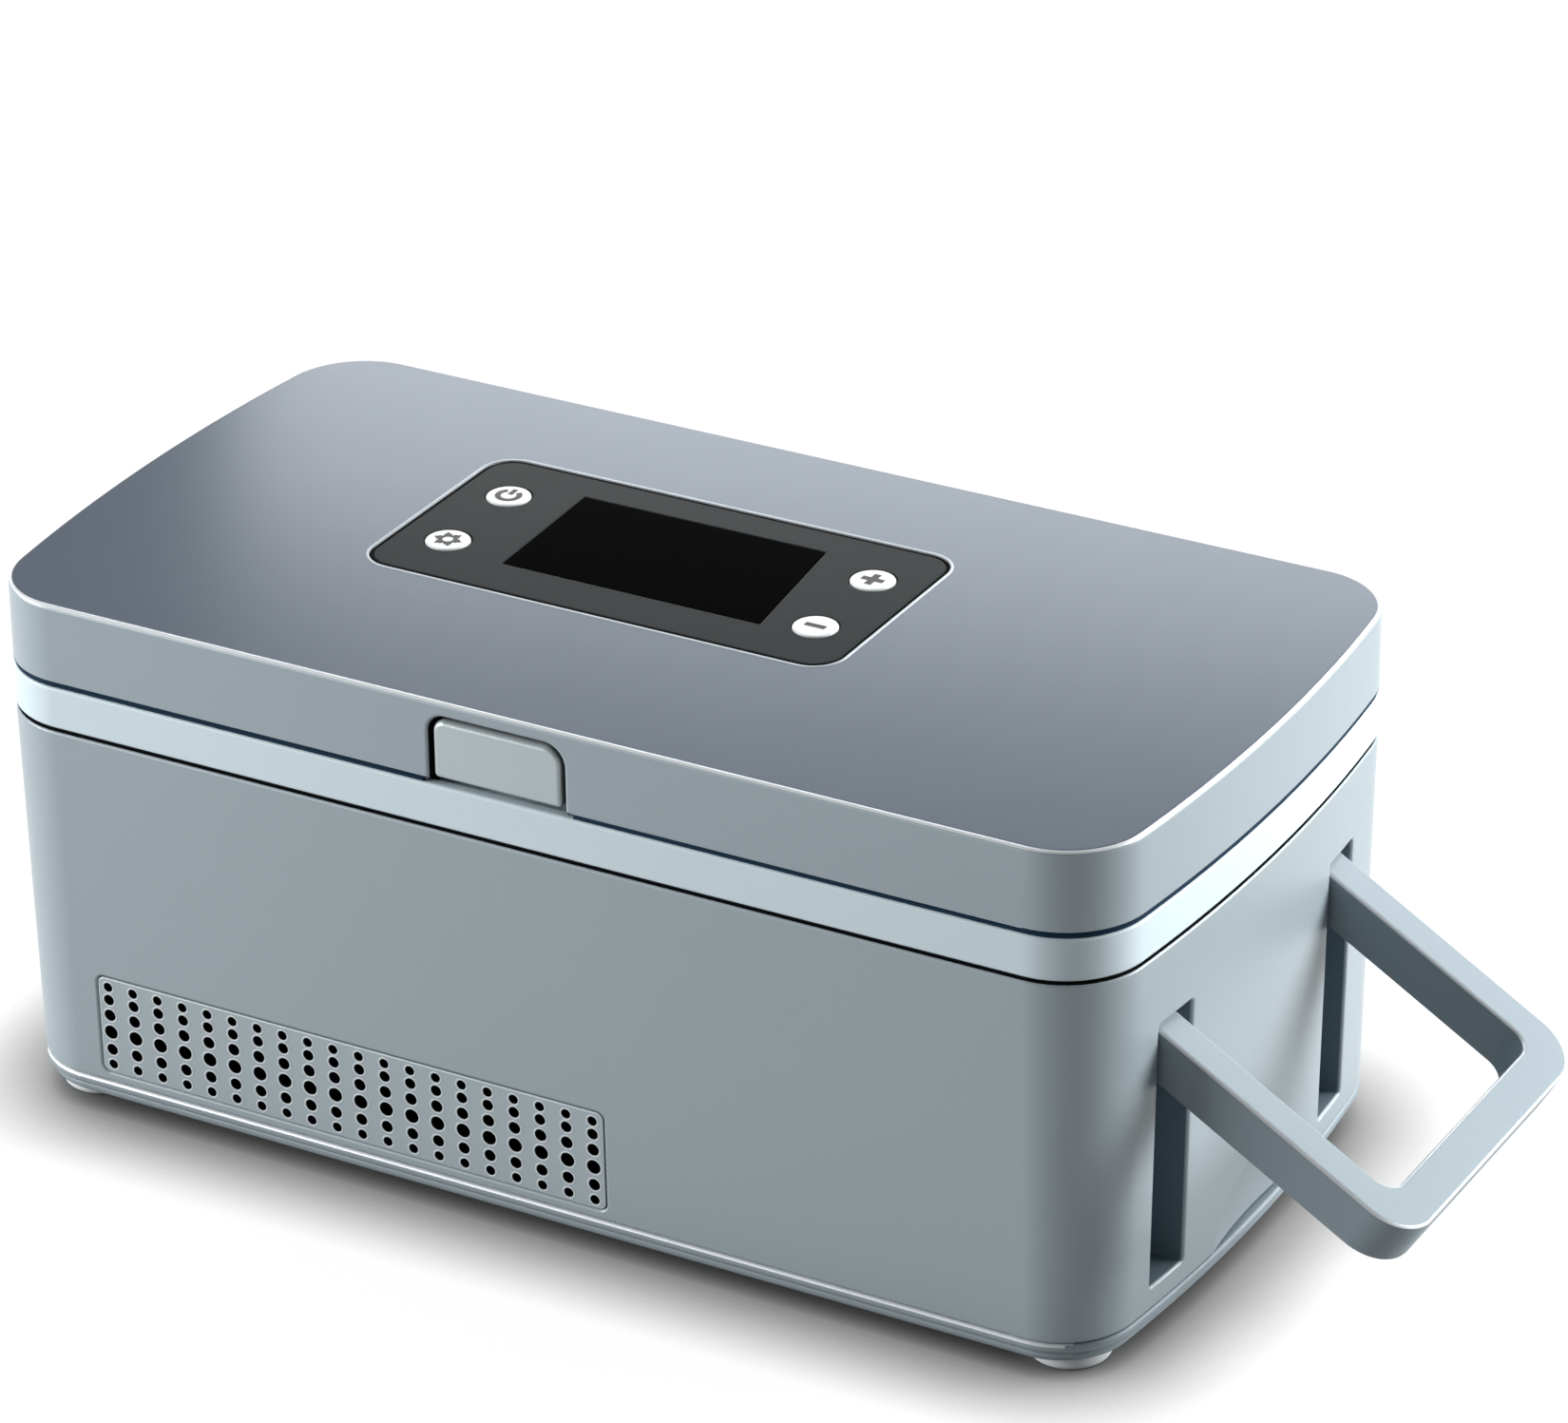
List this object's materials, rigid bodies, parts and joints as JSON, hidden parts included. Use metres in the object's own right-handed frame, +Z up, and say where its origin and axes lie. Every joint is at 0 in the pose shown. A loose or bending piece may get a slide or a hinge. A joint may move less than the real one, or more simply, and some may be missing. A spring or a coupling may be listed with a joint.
{
  "type": "insulin cooling case",
  "caption": "Portable thermoelectric cooling case for insulin pens, with a hinged lid, press latch, display keys, vent grille and fold-out end handle.",
  "frame": {"origin": "middle of the base cover's flat underside; the feet reach below it", "axes": "+X along the case towards the end with the handle, -Y towards the long face with the latch and the vent grille, +Z up"},
  "size_m": [0.3102, 0.1429, 0.1167],
  "materials": {
    "case_grey": "satin moulded plastic with a metallic paint",
    "lid_grey": "satin moulded plastic with a metallic paint",
    "band_white": "satin pale plastic",
    "trim_silver": "satin silver-painted plastic",
    "handle_grey": "satin moulded plastic",
    "foot_rubber": "soft pale rubber",
    "seal_rubber": "dark closed-cell seal",
    "panel_gloss": "gloss printed panel",
    "screen_gloss": "gloss black display",
    "key_white": "white moulded keys",
    "liner_metal": "drawn aluminium",
    "sink_metal": "extruded aluminium",
    "steel": "plain steel",
    "module_white": "ceramic plates",
    "foam_white": "moulded foam",
    "fan_black": "moulded black plastic",
    "board_green": "printed circuit board",
    "wrap_blue": "shrink-wrapped cells",
    "inner_plastic": "white moulded plastic",
    "inlet_black": "black moulded plastic"
  },
  "bodies": {
    "case": {"housing_shell": "case_grey", "rim_collar": "band_white", "base_cover": "trim_silver", "foot_front_left": "foot_rubber", "foot_front_right": "foot_rubber", "foot_rear_left": "foot_rubber", "foot_rear_right": "foot_rubber", "base_screw_front_left": "steel", "base_screw_front_right": "steel", "base_screw_rear_left": "steel", "base_screw_rear_right": "steel", "vent_grille": "case_grey", "handle_pin_front": "steel", "handle_pin_rear": "steel", "hinge_pin_left": "steel", "hinge_pin_right": "steel", "catch_plate": "steel", "chamber_liner": "liner_metal", "chamber_insulation": "foam_white", "medicine_tray": "inner_plastic", "cold_block": "sink_metal", "peltier_module": "module_white", "heat_sink": "sink_metal", "temperature_probe": "steel", "control_board": "board_green", "battery_pack": "wrap_blue", "battery_bracket": "steel", "dc_inlet": "inlet_black", "fan_frame": "fan_black"},
    "lid": {"lid_shell": "lid_grey", "lid_liner": "inner_plastic", "lid_insulation": "foam_white", "lid_gasket": "seal_rubber", "lid_screw_front_left": "steel", "lid_screw_front_right": "steel", "lid_screw_rear_left": "steel", "lid_screw_rear_right": "steel", "latch_guide": "inner_plastic", "latch_spring": "steel", "display_bezel": "panel_gloss", "display_window": "screen_gloss", "lcd_module": "screen_gloss", "display_board": "board_green"},
    "latch": {"latch_button": "lid_grey"},
    "handle": {"handle": "handle_grey"},
    "fan": {"fan_rotor": "fan_black"},
    "power_key": {"power_button": "key_white"},
    "mode_key": {"mode_button": "key_white"},
    "plus_key": {"plus_button": "key_white"},
    "minus_key": {"minus_button": "key_white"}
  },
  "joints": [
    {"name": "lid_hinge", "type": "hinge", "parent": "case", "child": "lid", "pos_m": [0, 0.0717, 0.0946], "axis": [-1, 0, 0], "range_deg": [0, 95]},
    {"name": "latch_press", "type": "slide", "parent": "lid", "child": "latch", "axis": [0, 1, 0], "range_m": [0, 0.002], "stiffness_N_per_m": 800, "springref_m": -0.002, "deforming": ["latch_spring"]},
    {"name": "handle_swing", "type": "hinge", "parent": "case", "child": "handle", "pos_m": [0.1235, 0, 0.0628], "axis": [0, 1, 0], "range_deg": [-31, 47]},
    {"name": "fan_spin", "type": "hinge", "parent": "case", "child": "fan", "pos_m": [-0.0435, 0, 0.0102], "axis": [0, 0, 1], "continuous": true},
    {"name": "power_press", "type": "slide", "parent": "lid", "child": "power_key", "axis": [0, 0, -1], "range_m": [0, 0.0005], "stiffness_N_per_m": 1500, "springref_m": -0.0004},
    {"name": "mode_press", "type": "slide", "parent": "lid", "child": "mode_key", "axis": [0, 0, -1], "range_m": [0, 0.0005], "stiffness_N_per_m": 1500, "springref_m": -0.0004},
    {"name": "plus_press", "type": "slide", "parent": "lid", "child": "plus_key", "axis": [0, 0, -1], "range_m": [0, 0.0005], "stiffness_N_per_m": 1500, "springref_m": -0.0004},
    {"name": "minus_press", "type": "slide", "parent": "lid", "child": "minus_key", "axis": [0, 0, -1], "range_m": [0, 0.0005], "stiffness_N_per_m": 1500, "springref_m": -0.0004}
  ]
}
